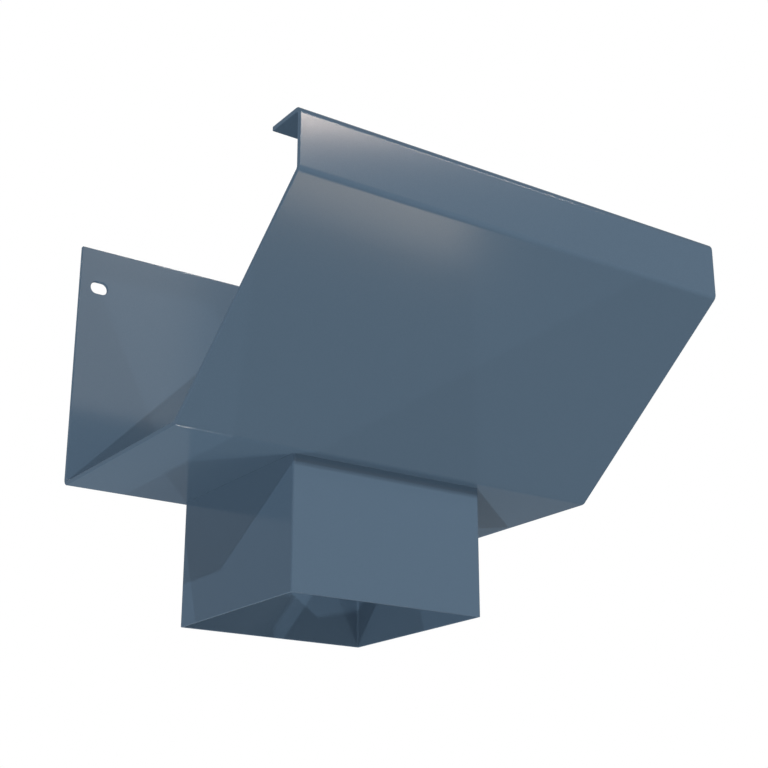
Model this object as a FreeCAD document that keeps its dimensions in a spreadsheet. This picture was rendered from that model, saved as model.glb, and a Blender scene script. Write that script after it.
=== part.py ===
import FreeCAD, Part
import math
import os
import Sketcher

# Rainwater outlet for a box gutter with a sloping front.
# A short length of gutter is folded from one sheet, and a square spigot is set through its sole.
# X runs along the gutter, +Y points to the wall behind it, and Z is up.
# The origin is the centre of the spigot's lower rim, on the axis of the downpipe.

Vector = FreeCAD.Vector

# The sketcher counts a curve's start, end and centre from one. Its own origin is the start of curve -1.
START_POINT, END_POINT, CENTRE_POINT = range(1, 4)
SKETCH_ORIGIN = (-1, START_POINT)

# Every driving size, in millimetres. The folds are measured on the outside, to their sharp corners.
SIZES = {
    "outlet_length": 220.0,
    "sheet_thickness": 2.0,
    "bend_radius": 1.5,
    "sole_width": 112.0,
    "front_run": 94.0,
    "front_rise": 75.5,
    "face_height": 27.0,
    "lip_width": 21.0,
    "back_height": 121.5,
    "spigot_width": 100.0,
    "spigot_drop": 60.0,
    "spigot_wall": 1.0,
    "spigot_corner": 1.0,
    "slot_width": 6.2,
    "slot_length": 9.0,
    "slot_from_end": 10.0,
    "slot_from_top": 20.0,
}

document = FreeCAD.newDocument("RainwaterOutlet")


def add_sizes():
    """Puts the driving sizes in a spreadsheet, one named cell each."""
    sheet = document.addObject("Spreadsheet::Sheet", "Sizes")
    for row, (name, value) in enumerate(SIZES.items(), start=1):
        sheet.set(f"A{row}", name)
        sheet.set(f"B{row}", str(value))
        sheet.setAlias(f"B{row}", name)
    document.recompute()


def add_body(label):
    body = document.addObject("PartDesign::Body", label)
    body.Label = label
    body.Placement = FreeCAD.Placement()
    return body


def add_sketch(body, name, plane, offset=""):
    """A sketch on one of the body's origin planes, moved along the plane's normal by an expression."""
    sketch = body.newObject("Sketcher::SketchObject", name)
    origin_plane = next(item for item in body.Origin.OriginFeatures if item.Role == plane)
    sketch.AttachmentSupport = [(origin_plane, "")]
    sketch.MapMode = "FlatFace"
    if offset:
        sketch.setExpression("AttachmentOffset.Base.z", offset)
    return sketch


def bind(sketch, name, expression, kind, *geometry):
    """Adds a named dimension to the sketch and ties its value to the spreadsheet."""
    value = float(sketch.evalExpression(expression))
    index = sketch.addConstraint(Sketcher.Constraint(kind, *geometry, value))
    sketch.renameConstraint(index, name)
    sketch.setExpression(f"Constraints.{name}", expression)


def direction(start, end):
    return (end - start).normalize()


def left_of(heading):
    return Vector(-heading.y, heading.x, 0)


def inset_corners(corners, distance):
    """The corners of the same open outline, moved to its left by a distance."""
    headings = [direction(start, end) for start, end in zip(corners, corners[1:])]
    moved = []
    for corner, into, away in zip(corners, headings[:1] + headings, headings + headings[-1:]):
        normals = left_of(into) + left_of(away)
        moved.append(corner + normals * (distance / (1 + left_of(into).dot(left_of(away)))))
    return moved


def join_smoothly(sketch, first, second):
    """Makes the end of one run or arc meet the start of the next with no kink."""
    sketch.addConstraint(Sketcher.Constraint("Tangent", first, END_POINT, second, START_POINT))


def add_bent_line(sketch, corners, radius):
    """Straight runs with an arc at each corner, all turning left. Returns the runs and the arcs."""
    runs = []
    arcs = []
    start = corners[0]
    for before, corner, after in zip(corners, corners[1:], corners[2:]):
        into = direction(before, corner)
        away = direction(corner, after)
        turn = into.getAngle(away)
        setback = radius * math.tan(turn / 2)
        bend_start = corner - into * setback
        centre = bend_start + left_of(into) * radius
        from_angle = math.atan2(-left_of(into).y, -left_of(into).x)
        circle = Part.Circle(centre, Vector(0, 0, 1), radius)
        runs.append(sketch.addGeometry(Part.LineSegment(start, bend_start), False))
        arcs.append(sketch.addGeometry(Part.ArcOfCircle(circle, from_angle, from_angle + turn), False))
        start = corner + away * setback
    runs.append(sketch.addGeometry(Part.LineSegment(start, corners[-1]), False))
    for index, arc in enumerate(arcs):
        join_smoothly(sketch, runs[index], arc)
        join_smoothly(sketch, arc, runs[index + 1])
    for arc in arcs[1:]:
        sketch.addConstraint(Sketcher.Constraint("Equal", arcs[0], arc))
    return runs, arcs


def add_sharp_corner(sketch, first_run, second_run, place):
    """A construction point where two runs would meet if the fold had no radius."""
    point = sketch.addGeometry(Part.Point(place), True)
    sketch.addConstraint(Sketcher.Constraint("PointOnObject", point, START_POINT, first_run))
    sketch.addConstraint(Sketcher.Constraint("PointOnObject", point, START_POINT, second_run))
    return point


def draw_gutter_section(sketch):
    """The folded sheet seen along the gutter: lip, face, sloping front, sole and back, in that order."""
    half_sole = SIZES["sole_width"] / 2
    face_place = -half_sole - SIZES["front_run"]
    sole_level = SIZES["spigot_drop"]
    fold_level = sole_level + SIZES["front_rise"]
    lip_level = fold_level + SIZES["face_height"]
    outside = [
        Vector(face_place + SIZES["lip_width"], lip_level, 0),
        Vector(face_place, lip_level, 0),
        Vector(face_place, fold_level, 0),
        Vector(-half_sole, sole_level, 0),
        Vector(half_sole, sole_level, 0),
        Vector(half_sole, sole_level + SIZES["back_height"], 0),
    ]
    thickness = SIZES["sheet_thickness"]
    outer_runs, outer_arcs = add_bent_line(sketch, outside, SIZES["bend_radius"] + thickness)
    inner_runs, inner_arcs = add_bent_line(sketch, inset_corners(outside, thickness), SIZES["bend_radius"])
    lip, face_run, front, sole_run, back = outer_runs

    # The two cut edges of the sheet close the outline.
    lip_edge = (outer_runs[0], inner_runs[0], START_POINT)
    back_edge = (outer_runs[-1], inner_runs[-1], END_POINT)
    for first, last, side in (lip_edge, back_edge):
        across = Part.LineSegment(sketch.getPoint(first, side), sketch.getPoint(last, side))
        edge = sketch.addGeometry(across, False)
        sketch.addConstraint(Sketcher.Constraint("Coincident", edge, START_POINT, first, side))
        sketch.addConstraint(Sketcher.Constraint("Coincident", edge, END_POINT, last, side))
        sketch.addConstraint(Sketcher.Constraint("Perpendicular", edge, first))
        sketch.addConstraint(Sketcher.Constraint("Parallel", first, last))

    # One thickness all along: both sides of a bend share their centre.
    for outer, inner in zip(outer_arcs, inner_arcs):
        sketch.addConstraint(Sketcher.Constraint("Coincident", outer, CENTRE_POINT, inner, CENTRE_POINT))
    bind(sketch, "inner_bend", "Sizes.bend_radius", "Radius", inner_arcs[0])
    bind(sketch, "outer_bend", "Sizes.bend_radius + Sizes.sheet_thickness", "Radius", outer_arcs[0])

    for run in (lip, sole_run):
        sketch.addConstraint(Sketcher.Constraint("Horizontal", run))
    for run in (face_run, back):
        sketch.addConstraint(Sketcher.Constraint("Vertical", run))

    top_corner = add_sharp_corner(sketch, lip, face_run, outside[1])
    front_corner = add_sharp_corner(sketch, face_run, front, outside[2])
    sole_corner = add_sharp_corner(sketch, front, sole_run, outside[3])
    heel_corner = add_sharp_corner(sketch, sole_run, back, outside[4])

    heel = (heel_corner, START_POINT)
    fold_low = (sole_corner, START_POINT)
    fold_high = (front_corner, START_POINT)
    top = (top_corner, START_POINT)
    bind(sketch, "axis_to_back", "Sizes.sole_width / 2", "DistanceX", *SKETCH_ORIGIN, *heel)
    bind(sketch, "rim_to_sole", "Sizes.spigot_drop", "DistanceY", *SKETCH_ORIGIN, *heel)
    bind(sketch, "sole_width", "Sizes.sole_width", "DistanceX", *fold_low, *heel)
    bind(sketch, "front_run", "Sizes.front_run", "DistanceX", *fold_high, *fold_low)
    bind(sketch, "front_rise", "Sizes.front_rise", "DistanceY", *fold_low, *fold_high)
    bind(sketch, "face_height", "Sizes.face_height", "DistanceY", *fold_high, *top)
    bind(sketch, "lip_width", "Sizes.lip_width", "DistanceX", *top, lip, START_POINT)
    bind(sketch, "back_height", "Sizes.back_height", "DistanceY", *heel, back, END_POINT)


def draw_rounded_square(sketch, name, width):
    """A square with the spigot's rounded corners, centred on the origin. The width is an expression."""
    corner = SIZES["spigot_corner"]
    half = float(sketch.evalExpression(width)) / 2
    near = half - corner
    quarter = math.pi / 2
    sides = []
    arcs = []
    for number in range(4):
        turned = FreeCAD.Rotation(Vector(0, 0, 1), 90 * number)
        start = turned.multVec(Vector(-near, -half, 0))
        end = turned.multVec(Vector(near, -half, 0))
        centre = turned.multVec(Vector(near, -near, 0))
        circle = Part.Circle(centre, Vector(0, 0, 1), corner)
        from_angle = quarter * (number - 1)
        sides.append(sketch.addGeometry(Part.LineSegment(start, end), False))
        arcs.append(sketch.addGeometry(Part.ArcOfCircle(circle, from_angle, from_angle + quarter), False))
    for number in range(4):
        join_smoothly(sketch, sides[number], arcs[number])
        join_smoothly(sketch, arcs[number], sides[(number + 1) % 4])
    for arc in arcs[1:]:
        sketch.addConstraint(Sketcher.Constraint("Equal", arcs[0], arc))
    for level, upright in ((sides[0], sides[1]), (sides[2], sides[3])):
        sketch.addConstraint(Sketcher.Constraint("Horizontal", level))
        sketch.addConstraint(Sketcher.Constraint("Vertical", upright))
    sketch.addConstraint(Sketcher.Constraint("Equal", sides[0], sides[1]))
    opposite = (arcs[0], CENTRE_POINT, arcs[2], CENTRE_POINT)
    sketch.addConstraint(Sketcher.Constraint("Symmetric", *opposite, *SKETCH_ORIGIN))
    bind(sketch, f"{name}_corner", "Sizes.spigot_corner", "Radius", arcs[0])
    bind(sketch, f"{name}_width", width, "Distance", sides[3], START_POINT, sides[1])


def draw_slot(sketch):
    """One round-ended fixing slot near the left end of the back's top edge."""
    half_width = SIZES["slot_width"] / 2
    reach = SIZES["slot_length"] / 2 - half_width
    middle = Vector(
        SIZES["slot_from_end"] - SIZES["outlet_length"] / 2,
        SIZES["spigot_drop"] + SIZES["back_height"] - SIZES["slot_from_top"],
        0,
    )
    up = Vector(0, half_width, 0)
    ends = []
    for side, from_angle in ((1, -math.pi / 2), (-1, math.pi / 2)):
        circle = Part.Circle(middle + Vector(side * reach, 0, 0), Vector(0, 0, 1), half_width)
        ends.append(sketch.addGeometry(Part.ArcOfCircle(circle, from_angle, from_angle + math.pi), False))
    right = Vector(reach, 0, 0)
    top = sketch.addGeometry(Part.LineSegment(middle + right + up, middle - right + up), False)
    bottom = sketch.addGeometry(Part.LineSegment(middle - right - up, middle + right - up), False)
    for first, second in ((ends[0], top), (top, ends[1]), (ends[1], bottom), (bottom, ends[0])):
        join_smoothly(sketch, first, second)
    sketch.addConstraint(Sketcher.Constraint("Equal", *ends))
    sketch.addConstraint(Sketcher.Constraint("Horizontal", top))
    centre = sketch.addGeometry(Part.Point(middle), True)
    centres = (ends[1], CENTRE_POINT, ends[0], CENTRE_POINT)
    sketch.addConstraint(Sketcher.Constraint("Symmetric", *centres, centre, START_POINT))
    from_middle = "Sizes.outlet_length / 2 - Sizes.slot_from_end"
    above_rim = "Sizes.spigot_drop + Sizes.back_height - Sizes.slot_from_top"
    between_centres = "Sizes.slot_length - Sizes.slot_width"
    bind(sketch, "half_width", "Sizes.slot_width / 2", "Radius", ends[0])
    bind(sketch, "between_centres", between_centres, "DistanceX", *centres)
    bind(sketch, "from_middle", from_middle, "DistanceX", centre, START_POINT, *SKETCH_ORIGIN)
    bind(sketch, "above_rim", above_rim, "DistanceY", *SKETCH_ORIGIN, centre, START_POINT)


def add_pocket(body, name, sketch, depth):
    """Cuts a sketch's outline out of the body along the sketch's normal. The depth is an expression."""
    before = body.Shape.Volume
    pocket = body.newObject("PartDesign::Pocket", name)
    pocket.Profile = sketch
    pocket.Type = "Length"
    pocket.Reversed = True
    pocket.setExpression("Length", depth)
    document.recompute()
    if body.Shape.Volume >= before:
        raise RuntimeError(f"{name} cuts nothing")
    return pocket


def build_gutter_section():
    """The folded sheet: its outline drawn out along the gutter, then the cut-out and the slots."""
    body = add_body("gutter_section")
    outline = add_sketch(body, "FoldedOutline", "YZ_Plane")
    draw_gutter_section(outline)
    sheet = body.newObject("PartDesign::Pad", "FoldedSheet")
    sheet.Profile = outline
    sheet.Midplane = True
    sheet.setExpression("Length", "Sizes.outlet_length")
    document.recompute()

    # The square hole in the sole takes the spigot with no gap, so that its wall can be welded to the edge.
    cut_out = add_sketch(body, "SpigotCutOutline", "XY_Plane", "Sizes.spigot_drop")
    draw_rounded_square(cut_out, "cut", "Sizes.spigot_width")
    add_pocket(body, "SpigotCutOut", cut_out, "Sizes.sheet_thickness")

    # The slots lie one at each end of the back, for the screws that hold it to the fascia.
    slot = add_sketch(body, "SlotOutline", "XZ_Plane", "-Sizes.sole_width / 2")
    draw_slot(slot)
    left_slot = add_pocket(body, "LeftSlot", slot, "Sizes.sheet_thickness")
    both_slots = body.newObject("PartDesign::Mirrored", "RightSlot")
    both_slots.Originals = [left_slot]
    middle = next(item for item in body.Origin.OriginFeatures if item.Role == "YZ_Plane")
    both_slots.MirrorPlane = (middle, [""])
    body.Tip = both_slots
    document.recompute()
    return body


def build_outlet_spigot():
    """The square tube that takes the downpipe. Its top is flush with the inside of the sole."""
    body = add_body("outlet_spigot")
    outline = add_sketch(body, "TubeOutline", "XY_Plane")
    draw_rounded_square(outline, "outer", "Sizes.spigot_width")
    draw_rounded_square(outline, "inner", "Sizes.spigot_width - 2 * Sizes.spigot_wall")
    tube = body.newObject("PartDesign::Pad", "SquareTube")
    tube.Profile = outline
    tube.setExpression("Length", "Sizes.spigot_drop + Sizes.sheet_thickness")
    document.recompute()
    return body


def check_document(parts):
    """Stops with a plain message if any object failed, or if a piece isn't one sound solid."""
    for item in document.Objects:
        if {"Invalid", "Error"} & set(item.State):
            raise RuntimeError(f"{item.Name} failed: {item.State}")
    for part in parts:
        if part.Shape.isNull() or not part.Shape.isValid() or len(part.Shape.Solids) != 1:
            raise RuntimeError(f"{part.Label} isn't one valid solid")


def write_parts(parts):
    os.makedirs("parts", exist_ok=True)
    for part in parts:
        part.Shape.exportStep(f"parts/{part.Label}.step")
        box = part.Shape.BoundBox
        print(
            f"{part.Label}: {part.Shape.Volume / 1000:.2f} cm3,"
            f" {box.XLength:.2f} x {box.YLength:.2f} x {box.ZLength:.2f} mm"
        )


add_sizes()
pieces = [build_gutter_section(), build_outlet_spigot()]
check_document(pieces)
write_parts(pieces)
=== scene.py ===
"""A powder-coated rainwater outlet: a short length of box gutter with a square spigot in its sole."""
import math

import bpy
from mathutils import Matrix, Quaternion, Vector


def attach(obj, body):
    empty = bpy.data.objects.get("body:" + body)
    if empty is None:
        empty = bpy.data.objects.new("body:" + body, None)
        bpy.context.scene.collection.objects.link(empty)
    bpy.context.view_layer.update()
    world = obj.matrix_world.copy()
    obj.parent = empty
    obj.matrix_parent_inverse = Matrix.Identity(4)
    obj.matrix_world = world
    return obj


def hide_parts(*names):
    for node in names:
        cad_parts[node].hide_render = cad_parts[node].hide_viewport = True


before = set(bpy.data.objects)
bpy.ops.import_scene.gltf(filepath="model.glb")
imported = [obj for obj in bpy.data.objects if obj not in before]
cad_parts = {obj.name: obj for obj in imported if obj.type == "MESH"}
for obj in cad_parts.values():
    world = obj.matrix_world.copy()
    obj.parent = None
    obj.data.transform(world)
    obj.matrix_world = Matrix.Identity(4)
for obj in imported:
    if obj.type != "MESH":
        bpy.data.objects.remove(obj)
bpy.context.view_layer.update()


# The powder coat.
# Polyester powder, sprayed on bare aluminium and baked. It flows out to a satin skin with a faint orange
# peel, which mirrors lamps softly. Its speckle, really as fine as flour, is drawn coarse enough to show. The
# low index with a strong mirror tint makes the coat mirror as much head-on as at a grazing angle.
MM = 0.001
COAT_DARK, COAT_LIGHT = "495E72", "4D6276"
COAT_ROUGHNESS = 0.12
ROUGHNESS_SPREAD = 0.02
COAT_IOR = 1.05
COAT_MIRROR = 15
PEEL_WIDTH = 1.6 * MM
PEEL_DEPTH = 0.004 * MM
GRAIN_WIDTH = 0.35 * MM
MOTTLE_RANGE = (0.3, 0.7)


def srgb(hex_colour):
    """A hex colour as the linear values, with a full alpha, that a shader socket takes."""
    channels = [int(hex_colour[i:i + 2], 16) / 255 for i in (0, 2, 4)]
    return [c / 12.92 if c <= 0.04045 else ((c + 0.055) / 1.055) ** 2.4 for c in channels] + [1.0]


def node(tree, kind, inputs=None, **settings):
    """Adds a node. Each input is a value, or the socket that feeds it; the settings are the node's own."""
    made = tree.nodes.new(kind)
    for name, value in settings.items():
        setattr(made, name, value)
    for name, value in (inputs or {}).items():
        if isinstance(value, bpy.types.NodeSocket):
            tree.links.new(value, made.inputs[name])
        else:
            made.inputs[name].default_value = value
    return made


def empty_tree(owner):
    """The node tree of a material or world, without its default nodes."""
    owner.use_nodes = True
    owner.node_tree.nodes.clear()
    return owner.node_tree


def noise(tree, width, detail):
    """An even noise in the piece's own space, with spots about one width across."""
    place = node(tree, "ShaderNodeTexCoord").outputs["Object"]
    inputs = {"Vector": place, "Scale": 1 / width, "Detail": detail}
    return node(tree, "ShaderNodeTexNoise", inputs).outputs["Fac"]


def mottled(tree, spots, dark, light):
    """A colour that goes from dark to light with a noise."""
    ramp = node(tree, "ShaderNodeValToRGB", {"Fac": spots})
    for element, position, colour in zip(ramp.color_ramp.elements, MOTTLE_RANGE, (dark, light)):
        element.position = position
        element.color = srgb(colour)
    return ramp.outputs["Color"]


def bumps(tree, height, depth):
    """A surface that a noise raises by up to a depth in metres."""
    inputs = {"Height": height, "Strength": 1.0, "Distance": depth}
    return node(tree, "ShaderNodeBump", inputs).outputs["Normal"]


coat = bpy.data.materials.new("satin_powder_coat")
tree = empty_tree(coat)
peel = noise(tree, PEEL_WIDTH, detail=2)
grain = noise(tree, GRAIN_WIDTH, detail=1)
gloss = node(tree, "ShaderNodeMapRange", {
    "Value": grain,
    "To Min": COAT_ROUGHNESS - ROUGHNESS_SPREAD,
    "To Max": COAT_ROUGHNESS + ROUGHNESS_SPREAD,
})
skin = node(tree, "ShaderNodeBsdfPrincipled", {
    "Base Color": mottled(tree, grain, COAT_DARK, COAT_LIGHT),
    "Roughness": gloss.outputs["Result"],
    "IOR": COAT_IOR,
    "Specular Tint": [COAT_MIRROR, COAT_MIRROR, COAT_MIRROR, 1],
    "Normal": bumps(tree, peel, PEEL_DEPTH),
})
node(tree, "ShaderNodeOutputMaterial", {"Surface": skin.outputs["BSDF"]})


# The gutter section.
# One aluminium sheet, folded four times on a press brake: lip, face, sloping front, sole and back.
# The square hole for the spigot and the two screw slots are cut through it.
LENGTH = 220 * MM
SHEET = 2 * MM
OUTER_BEND = 3.5 * MM
BEND_STEPS = 12
LIP = 21 * MM
FACE = 27 * MM
FRONT_RUN = 94 * MM
FRONT_RISE = 75.5 * MM
SOLE = 112 * MM
BACK = 121.5 * MM
SPIGOT_DROP = 60 * MM
SPIGOT_WIDTH = 100 * MM
SPIGOT_CORNER = 1 * MM
SLOT_WIDTH = 9 * MM
SLOT_HEIGHT = 6.2 * MM
SLOT_FROM_END = 10 * MM
SLOT_FROM_TOP = 20 * MM
CORNER_STEPS = 12
PUNCH_LENGTH = 6 * SHEET
EDGE_ROUNDING = 0.3 * MM
EDGE_STEPS = 3
SHARP_FROM = math.radians(40)
SMOOTH_UP_TO = math.radians(50)
FLATS_LEAD = 100
TO_THE_WALL, UPRIGHT = 1, 2
HAIR = 0.01 * MM


def start_editing(select):
    """Opens the active piece with only the vertices selected that a test picks."""
    bpy.ops.object.mode_set(mode="OBJECT")
    mesh = bpy.context.object.data
    bpy.ops.object.mode_set(mode="EDIT")
    bpy.ops.mesh.select_mode(type="VERT")
    bpy.ops.mesh.select_all(action="DESELECT")
    bpy.ops.object.mode_set(mode="OBJECT")
    for vertex in mesh.vertices:
        vertex.select = select(vertex.co)
    bpy.ops.object.mode_set(mode="EDIT")
    bpy.ops.mesh.select_mode(type="EDGE")


def make_active(piece):
    """Selects one piece alone."""
    bpy.ops.object.select_all(action="DESELECT")
    piece.select_set(True)
    bpy.context.view_layer.objects.active = piece


def apply_modifier(piece, kind, **settings):
    """Puts a modifier on a piece and makes its result the mesh. The piece stays the active one."""
    modifier = piece.modifiers.new(kind.title(), kind)
    for name, value in settings.items():
        setattr(modifier, name, value)
    make_active(piece)
    bpy.ops.object.modifier_apply(modifier=modifier.name)


def settle(piece, name):
    """Names a piece and puts its place into its mesh."""
    piece.name = piece.data.name = name
    make_active(piece)
    bpy.ops.object.transform_apply(location=True, rotation=True, scale=True)


def rounded_bar(size, centre, corner, along):
    """A bar whose four edges along one axis are rounded."""
    bpy.ops.object.select_all(action="DESELECT")
    bpy.ops.mesh.primitive_cube_add(size=1, location=centre)
    bar = bpy.context.object
    bar.scale = size
    settle(bar, "bar")
    bpy.ops.object.mode_set(mode="EDIT")
    bpy.ops.mesh.select_mode(type="EDGE")
    bpy.ops.mesh.select_all(action="DESELECT")
    bpy.ops.object.mode_set(mode="OBJECT")
    for edge in bar.data.edges:
        first, last = [bar.data.vertices[i].co for i in edge.vertices]
        edge.select = abs((last - first)[along]) > size[along] / 2
    bpy.ops.object.mode_set(mode="EDIT")
    bpy.ops.mesh.bevel(offset=corner, segments=CORNER_STEPS, affect="EDGES")
    bpy.ops.object.mode_set(mode="OBJECT")
    return bar


def punch(piece, size, centre, corner, along):
    """Cuts a hole with a rounded bar."""
    tool = rounded_bar(size, centre, corner, along)
    apply_modifier(piece, "BOOLEAN", object=tool, operation="DIFFERENCE", solver="EXACT")
    bpy.data.objects.remove(tool)


def soften(piece):
    """Rounds the sharp edges a little, as the coat does, and shades the bends smooth and the flats flat."""
    apply_modifier(
        piece, "BEVEL", width=EDGE_ROUNDING, segments=EDGE_STEPS,
        limit_method="ANGLE", angle_limit=SHARP_FROM,
    )
    bpy.ops.object.shade_smooth_by_angle(angle=SMOOTH_UP_TO)
    apply_modifier(piece, "WEIGHTED_NORMAL", mode="FACE_AREA", weight=FLATS_LEAD, keep_sharp=True)


# The runs are measured to the corners that the outside would have if it weren't rounded there. Each bend
# takes its share of the two runs that it joins.
slope = math.atan2(FRONT_RISE, FRONT_RUN)
runs = [LIP, FACE, math.hypot(FRONT_RUN, FRONT_RISE), SOLE, BACK]
turns = [math.pi / 2, math.pi / 2 - slope, slope, math.pi / 2]
setbacks = [OUTER_BEND * math.tan(turn / 2) for turn in turns]
flats = [run - before - after for run, before, after in zip(runs, [0] + setbacks, setbacks + [0])]

lip_edge = Vector((0, -SOLE / 2 - FRONT_RUN + LIP, SPIGOT_DROP + FRONT_RISE + FACE))
heading = Vector((0, -1, 0))
bpy.ops.object.select_all(action="DESELECT")
bpy.ops.mesh.primitive_plane_add(size=1, location=lip_edge + heading * flats[0] / 2)
sheet = bpy.context.object
sheet.scale = (LENGTH, flats[0], 1)
settle(sheet, "gutter_sheet")
at = lip_edge + heading * flats[0]
# The open edge of the sheet is spun round the middle of each bend, and the next flat is drawn out of it.
for turn, flat in zip(turns, flats[1:]):
    start_editing(lambda co: (Vector((at.x, co.y, co.z)) - at).length < HAIR)
    inward = Vector((0, -heading.z, heading.y))
    bend_centre = at + inward * OUTER_BEND
    bpy.ops.mesh.spin(steps=BEND_STEPS, angle=-turn, center=bend_centre, axis=(1, 0, 0))
    turned = Matrix.Rotation(turn, 3, "X")
    at = bend_centre + turned @ (at - bend_centre)
    heading = turned @ heading
    bpy.ops.mesh.extrude_region_move(TRANSFORM_OT_translate={"value": heading * flat})
    at = at + heading * flat
bpy.ops.mesh.select_all(action="SELECT")
bpy.ops.mesh.remove_doubles(threshold=HAIR / 10)
bpy.ops.mesh.normals_make_consistent(inside=False)
bpy.ops.object.mode_set(mode="OBJECT")
apply_modifier(sheet, "SOLIDIFY", thickness=SHEET, offset=-1, use_even_offset=True)
sole_middle = (0, 0, SPIGOT_DROP)
punch(sheet, (SPIGOT_WIDTH, SPIGOT_WIDTH, PUNCH_LENGTH), sole_middle, SPIGOT_CORNER, UPRIGHT)
for side in (-1, 1):
    slot_middle = (side * (LENGTH / 2 - SLOT_FROM_END), SOLE / 2, SPIGOT_DROP + BACK - SLOT_FROM_TOP)
    slot_size = (SLOT_WIDTH, PUNCH_LENGTH, SLOT_HEIGHT)
    punch(sheet, slot_size, slot_middle, SLOT_HEIGHT / 2 - HAIR, TO_THE_WALL)
soften(sheet)
sheet.data.materials.append(coat)
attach(sheet, "root")
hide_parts("gutter_section")


# The outlet spigot.
# A short length of square aluminium tube, pushed up through the hole in the sole and welded to its edge.
# Its top is flush with the inside of the sole, so that water runs off freely.
SPIGOT_WALL = 1 * MM
SPIGOT_BORE = SPIGOT_WIDTH - 2 * SPIGOT_WALL
SPIGOT_HEIGHT = SPIGOT_DROP + SHEET

tube_middle = (0, 0, SPIGOT_HEIGHT / 2)
tube = rounded_bar((SPIGOT_WIDTH, SPIGOT_WIDTH, SPIGOT_HEIGHT), tube_middle, SPIGOT_CORNER, UPRIGHT)
tube.name = tube.data.name = "spigot_tube"
punch(tube, (SPIGOT_BORE, SPIGOT_BORE, 2 * SPIGOT_HEIGHT), tube_middle, SPIGOT_CORNER, UPRIGHT)
soften(tube)
tube.data.materials.append(coat)
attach(tube, "root")
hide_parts("outlet_spigot")


# The studio.
# A white room that hardly lights the part, with a floor of white paper well below it. The floor casts no
# shadow, so that the lamps from below reach the part.
FLOOR_LEVEL = -3.0
FLOOR_SIZE = 60
FIBRE_WIDTH = 0.8 * MM
FIBRE_DEPTH = 0.02 * MM
PAPER_DARK, PAPER_LIGHT = "C2C2C2", "C6C6C6"
PAPER_ROUGHNESS = 0.9
FLOOR_WHITENESS = 0.4
AMBIENT = 0.01


def background_rays(tree):
    """1 for the rays that see the room as plain white: camera, glossy and transmission rays."""
    rays = node(tree, "ShaderNodeLightPath").outputs
    inputs = {0: rays["Is Camera Ray"], 1: rays["Is Glossy Ray"]}
    first_two = node(tree, "ShaderNodeMath", inputs, operation="ADD")
    inputs = {0: first_two.outputs[0], 1: rays["Is Transmission Ray"]}
    return node(tree, "ShaderNodeMath", inputs, operation="ADD", use_clamp=True).outputs[0]


world = bpy.data.worlds.new("white_room")
bpy.context.scene.world = world
tree = empty_tree(world)
fill = node(tree, "ShaderNodeBackground", {"Color": srgb("FFFFFF"), "Strength": AMBIENT})
white = node(tree, "ShaderNodeBackground", {"Color": srgb("FFFFFF"), "Strength": 1.0})
inputs = {0: background_rays(tree), 1: fill.outputs[0], 2: white.outputs[0]}
room = node(tree, "ShaderNodeMixShader", inputs)
node(tree, "ShaderNodeOutputWorld", {"Surface": room.outputs[0]})

bpy.ops.object.select_all(action="DESELECT")
bpy.ops.mesh.primitive_plane_add(size=FLOOR_SIZE, location=(0, 0, FLOOR_LEVEL))
floor = bpy.context.object
settle(floor, "studio_floor")
floor.visible_shadow = False

# Uncoated white paper: a dull surface of matted fibres. Part of its white is added for the rays that see
# the room, so that it looks as pale as the walls and adds no light to the part.
paper = bpy.data.materials.new("white_paper_floor")
tree = empty_tree(paper)
fibres = noise(tree, FIBRE_WIDTH, detail=2)
matt = node(tree, "ShaderNodeBsdfPrincipled", {
    "Base Color": mottled(tree, fibres, PAPER_DARK, PAPER_LIGHT),
    "Roughness": PAPER_ROUGHNESS,
    "Normal": bumps(tree, fibres, FIBRE_DEPTH),
})
glow = node(tree, "ShaderNodeEmission", {"Color": srgb("FFFFFF"), "Strength": 1.0})
share = node(tree, "ShaderNodeMath", {0: background_rays(tree), 1: FLOOR_WHITENESS}, operation="MULTIPLY")
inputs = {0: share.outputs[0], 1: matt.outputs["BSDF"], 2: glow.outputs[0]}
seen = node(tree, "ShaderNodeMixShader", inputs)
node(tree, "ShaderNodeOutputMaterial", {"Surface": seen.outputs[0]})
floor.data.materials.append(paper)


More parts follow.
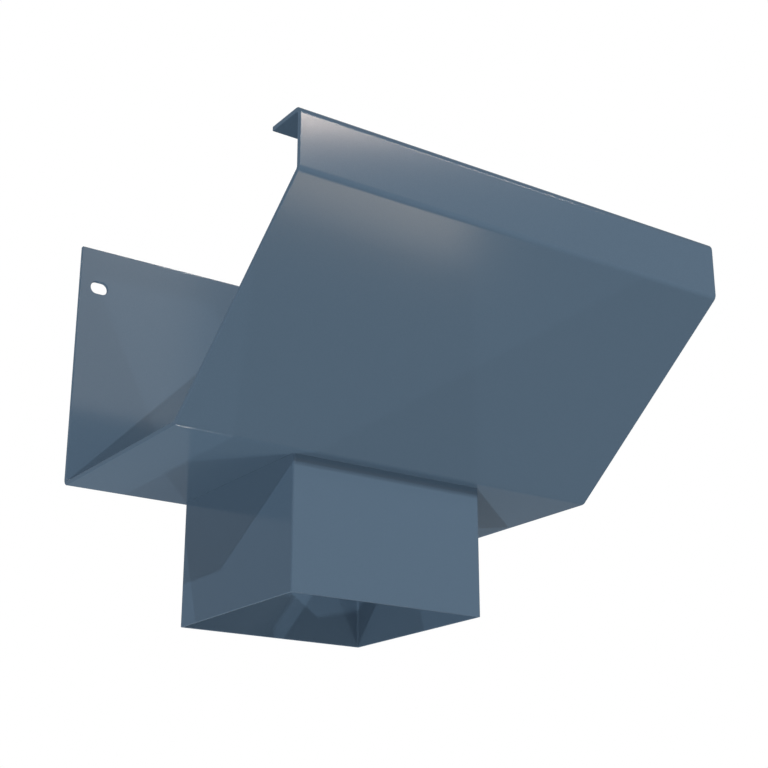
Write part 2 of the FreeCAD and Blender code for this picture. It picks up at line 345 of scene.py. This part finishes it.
# The lamps.
# Small lamps light each side, from above and from below. Each has the way its light travels, its strength at
# the part and its colour. Three wide cards, aimed at the left end of the face, are there to be mirrored in
# the coat. Each also has its width and height, and its roll in degrees about the way it shines.
LAMP_ANGLE = 0.6
LAMPS = {
    "front_left_high": ((1.499, 1.72, -1), 0.32, "FFFFFF"),
    "front_right_high": ((-0.704, 1.266, -1), 0.25, "FFFFFF"),
    "back_left_high": ((0.8, -0.342, -1), 0.22, "FFFFFF"),
    "front_left_low": ((0.975, 0.822, 1), 0.515, "FFF9F5"),
    "front_right_low": ((-0.52, 0.617, 1), 0.15, "FFFFFF"),
    "back_left_low": ((1.012, -0.869, 1), 0.31, "FFFBF7"),
    "back_right_low": ((-0.546, -0.69, 1), 0.14, "FFF9F6"),
}
CARDS = {
    "strip_card": ((-0.505, 0.696, -0.511), 0.41, "FFEBDC", (1.05, 0.105), 0),
    "low_card": ((-0.385, 0.305, 0.81), 0.175, "FFE9CF", (1.16, 0.3), 46),
    "high_card": ((-0.355, 0.857, -0.375), 0.07, "FFF6EC", (0.7, 0.7), 0),
}
CARD_DISTANCE = 3.0
AIMED_AT = Vector((-0.104, -0.15, 0.155))


def hang(lamp, name, colour, travel, place, roll=0):
    """Puts a lamp in the scene, shining along its travel."""
    lamp.color = srgb(colour)[:3]
    holder = bpy.data.objects.new(name, lamp)
    holder.location = place
    aim = travel.to_track_quat("-Z", "Y") @ Quaternion((0, 0, 1), math.radians(roll))
    holder.rotation_euler = aim.to_euler()
    bpy.context.scene.collection.objects.link(holder)


for name, (travel, strength, colour) in LAMPS.items():
    lamp = bpy.data.lights.new(name, "SUN")
    lamp.energy = strength * math.pi
    lamp.angle = math.radians(LAMP_ANGLE)
    hang(lamp, name, colour, Vector(travel), AIMED_AT)

for name, (travel, strength, colour, size, roll) in CARDS.items():
    card = bpy.data.lights.new(name, "AREA")
    card.shape = "RECTANGLE"
    card.size, card.size_y = size
    card.energy = strength * (math.pi * CARD_DISTANCE) ** 2
    travel = Vector(travel).normalized()
    hang(card, name, colour, travel, AIMED_AT - travel * CARD_DISTANCE, roll)


# The camera.
# It stands low at the left front and looks up at the part. It looks level and straight at the wall before it
# is turned and tilted. Both angles are in degrees, and the lens and its sensor are in millimetres.
CAMERA_PLACE = (-0.36437, -0.57573, -0.12588)
LEVEL = 90
CAMERA_TURN = 34.499
CAMERA_TILT = 19.571
LENS = 69.78
SENSOR_WIDTH = 36

camera = bpy.data.objects.new("camera", bpy.data.cameras.new("camera"))
camera.data.sensor_width = SENSOR_WIDTH
camera.data.lens = LENS
camera.location = CAMERA_PLACE
camera.rotation_euler = (math.radians(LEVEL + CAMERA_TILT), 0, math.radians(-CAMERA_TURN))
bpy.context.scene.collection.objects.link(camera)
bpy.context.scene.camera = camera
bpy.context.scene.view_settings.view_transform = "Standard"
